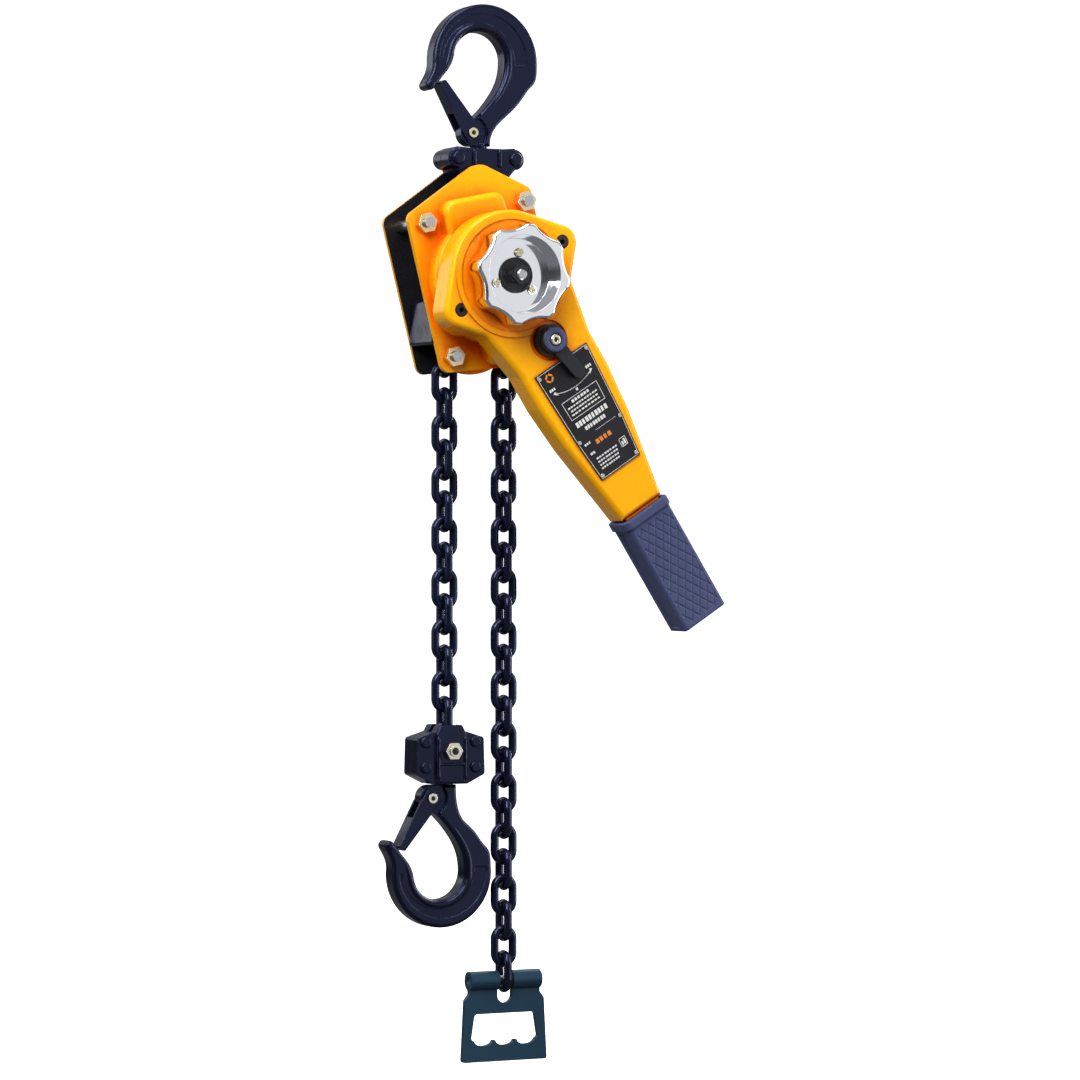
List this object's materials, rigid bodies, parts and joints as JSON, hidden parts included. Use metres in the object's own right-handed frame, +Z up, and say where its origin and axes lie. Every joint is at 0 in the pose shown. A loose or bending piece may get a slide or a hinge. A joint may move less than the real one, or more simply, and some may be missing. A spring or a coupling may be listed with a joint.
{
  "type": "lever chain hoist",
  "caption": "Lever chain hoist with a sprung swivel hook at each end, ratchet lever, free-wheel hand wheel, geared load sheave and a tail handle on the slack chain.",
  "frame": {"origin": "centre of the top hook's bowl, where the hoist hangs", "axes": "+Z up along the chain, +X right, the hand wheel and lever face -Y"},
  "size_m": [0.3168, 0.168, 0.9905],
  "materials": {
    "black_paint": "satin",
    "zinc": "yellow zinc plated",
    "steel": "machined",
    "spring_steel": "drawn wire",
    "yellow_paint": "gloss enamel",
    "cast_iron": "as cast",
    "bronze": "turned",
    "friction": "woven friction lining",
    "chain": "black finish",
    "chrome": "polished",
    "black_bolt": "black oxide",
    "grip_rubber": "moulded, satin",
    "plate_black": "printed black",
    "handle_paint": "satin"
  },
  "bodies": {
    "top_hook": {"top_hook": "black_paint", "top_latch_pin": "zinc"},
    "top_latch": {"top_latch": "black_paint", "top_latch_spring": "spring_steel"},
    "yoke": {"top_yoke_front": "black_paint", "top_yoke_back": "black_paint", "top_yoke_rivets": "black_paint"},
    "frame": {"top_suspension_pin": "steel", "side_plate_front": "yellow_paint", "side_plate_back": "yellow_paint", "stay_bolts": "steel", "stay_nuts": "zinc", "chain_guides": "cast_iron", "chain_stripper": "cast_iron", "brake_cover": "yellow_paint", "gear_cover": "yellow_paint", "gear_cover_screws": "steel", "sheave_bushes": "bronze", "pawl_pins": "steel", "pawl_springs": "spring_steel"},
    "pawl_upper": {"pawl_upper": "steel"},
    "pawl_lower": {"pawl_lower": "steel"},
    "sheave": {"load_sheave": "cast_iron", "load_gear": "steel", "chain_on_sheave": "chain"},
    "disc_gear_upper": {"disc_gear_upper": "steel"},
    "disc_gear_lower": {"disc_gear_lower": "steel"},
    "drive": {"pinion_shaft": "steel", "friction_hub": "steel", "friction_discs": "friction", "ratchet_disc": "steel", "change_gear": "steel", "shaft_nut": "steel", "freewheel_spring": "spring_steel"},
    "handwheel": {"handwheel": "chrome", "handwheel_screws": "zinc", "hub_plate": "black_bolt"},
    "lever": {"lever_front_shell": "yellow_paint", "lever_back_shell": "yellow_paint", "lever_bolts": "black_bolt", "lever_grip": "grip_rubber", "name_plate": "plate_black", "name_plate_rivets": "steel"},
    "selector": {"selector_knob": "black_bolt", "selector_pawl": "black_bolt"},
    "load_chain_upper": {"load_chain_upper": "chain"},
    "load_chain_middle": {"load_chain_middle": "chain"},
    "load_chain_lower": {"load_chain_lower": "chain"},
    "bottom_block": {"block_front": "black_paint", "block_back": "black_paint", "block_rivets": "black_paint", "anchor_bolt": "zinc"},
    "bottom_hook": {"bottom_hook": "black_paint", "bottom_latch_pin": "zinc"},
    "bottom_latch": {"bottom_latch": "black_paint", "bottom_latch_spring": "spring_steel"},
    "free_chain_upper": {"free_chain_upper": "chain"},
    "free_chain_lower": {"free_chain_lower": "chain"},
    "tail_handle": {"tail_handle": "handle_paint", "tail_pin": "steel"}
  },
  "joints": [
    {"name": "top_hook_swivel", "type": "hinge", "parent": "top_hook", "child": "yoke", "pos_m": [0.0025, 0, -0.0935], "axis": [0, 0, 1], "continuous": true},
    {"name": "top_latch_hinge", "type": "hinge", "parent": "top_hook", "child": "top_latch", "pos_m": [-0.0075, 0, -0.069], "axis": [0, 1, 0], "range_deg": [0, 30], "stiffness_Nm_per_rad": 0.05, "springref_deg": -34.38},
    {"name": "top_pin_pivot", "type": "hinge", "parent": "yoke", "child": "frame", "pos_m": [-0.00002, 0, -0.12394], "axis": [0, 1, 0], "range_deg": [-18, 18]},
    {"name": "sheave_turn", "type": "hinge", "parent": "frame", "child": "sheave", "pos_m": [-0.002, 0, -0.2065], "axis": [0, 1, 0], "range_deg": [-4.44, 4.44]},
    {"name": "disc_gear_upper_turn", "type": "hinge", "parent": "frame", "child": "disc_gear_upper", "pos_m": [-0.01086, 0, -0.16813], "axis": [0, 1, 0], "range_deg": [-15.05, 15.05]},
    {"name": "disc_gear_lower_turn", "type": "hinge", "parent": "frame", "child": "disc_gear_lower", "pos_m": [0.00686, 0, -0.24487], "axis": [0, 1, 0], "range_deg": [-15.05, 15.05]},
    {"name": "drive_turn", "type": "hinge", "parent": "frame", "child": "drive", "pos_m": [-0.002, 0, -0.2065], "axis": [0, 1, 0], "range_deg": [-60.1, 60.1]},
    {"name": "handwheel_pull", "type": "slide", "parent": "drive", "child": "handwheel", "axis": [0, -1, 0], "range_m": [0, 0.005], "stiffness_N_per_m": 400, "springref_m": -0.003},
    {"name": "pawl_upper_hinge", "type": "hinge", "parent": "frame", "child": "pawl_upper", "pos_m": [-0.0361, 0, -0.16993], "axis": [0, 1, 0], "range_deg": [0, 6], "stiffness_Nm_per_rad": 0.02, "springref_deg": -11.46},
    {"name": "pawl_lower_hinge", "type": "hinge", "parent": "frame", "child": "pawl_lower", "pos_m": [0.0321, 0, -0.24307], "axis": [0, 1, 0], "range_deg": [0, 6], "stiffness_Nm_per_rad": 0.02, "springref_deg": -11.46},
    {"name": "lever_swing", "type": "hinge", "parent": "frame", "child": "lever", "pos_m": [-0.002, 0, -0.2065], "axis": [0, 1, 0], "continuous": true},
    {"name": "selector_turn", "type": "hinge", "parent": "lever", "child": "selector", "pos_m": [0.03534, 0, -0.26512], "axis": [0, 1, 0], "range_deg": [0, 37.6]},
    {"name": "load_chain_slide", "type": "slide", "parent": "frame", "child": "load_chain_upper", "axis": [0, 0, 1], "range_m": [-0.0024, 0.0024]},
    {"name": "load_chain_sway_front", "type": "hinge", "parent": "load_chain_upper", "child": "load_chain_middle", "pos_m": [-0.0326, 0, -0.2864], "axis": [1, 0, 0], "range_deg": [-12, 12]},
    {"name": "load_chain_sway_side", "type": "hinge", "parent": "load_chain_middle", "child": "load_chain_lower", "pos_m": [-0.0326, 0, -0.4544], "axis": [0, 1, 0], "range_deg": [0, 20]},
    {"name": "block_swing", "type": "hinge", "parent": "load_chain_lower", "child": "bottom_block", "pos_m": [-0.0326, 0, -0.6455], "axis": [0, 1, 0], "range_deg": [0, 12]},
    {"name": "bottom_hook_swivel", "type": "hinge", "parent": "bottom_block", "child": "bottom_hook", "pos_m": [-0.0326, 0, -0.6655], "axis": [0, 0, 1], "range_deg": [-150, 150]},
    {"name": "bottom_latch_hinge", "type": "hinge", "parent": "bottom_hook", "child": "bottom_latch", "pos_m": [-0.0491, 0, -0.6895], "axis": [0, 1, 0], "range_deg": [-30, 0], "stiffness_Nm_per_rad": 0.05, "springref_deg": 34.38},
    {"name": "free_chain_slide", "type": "slide", "parent": "frame", "child": "free_chain_upper", "axis": [0, 0, 1], "range_m": [-0.0024, 0.0024]},
    {"name": "free_chain_sway_side", "type": "hinge", "parent": "free_chain_upper", "child": "free_chain_lower", "pos_m": [0.0286, 0, -0.4064], "axis": [0, 1, 0], "range_deg": [-20, 0]},
    {"name": "tail_handle_swing", "type": "hinge", "parent": "free_chain_lower", "child": "tail_handle", "pos_m": [0.0286, 0, -0.8625], "axis": [1, 0, 0], "range_deg": [-60, 60]}
  ],
  "couplings": [
    {"joint": "disc_gear_upper_turn", "follows": "sheave_turn", "ratio": -3.375},
    {"joint": "disc_gear_lower_turn", "follows": "sheave_turn", "ratio": -3.375},
    {"joint": "drive_turn", "follows": "sheave_turn", "ratio": 13.5},
    {"joint": "load_chain_slide", "follows": "sheave_turn", "m_per_rad": 0.030558},
    {"joint": "free_chain_slide", "follows": "sheave_turn", "m_per_rad": -0.030558}
  ]
}
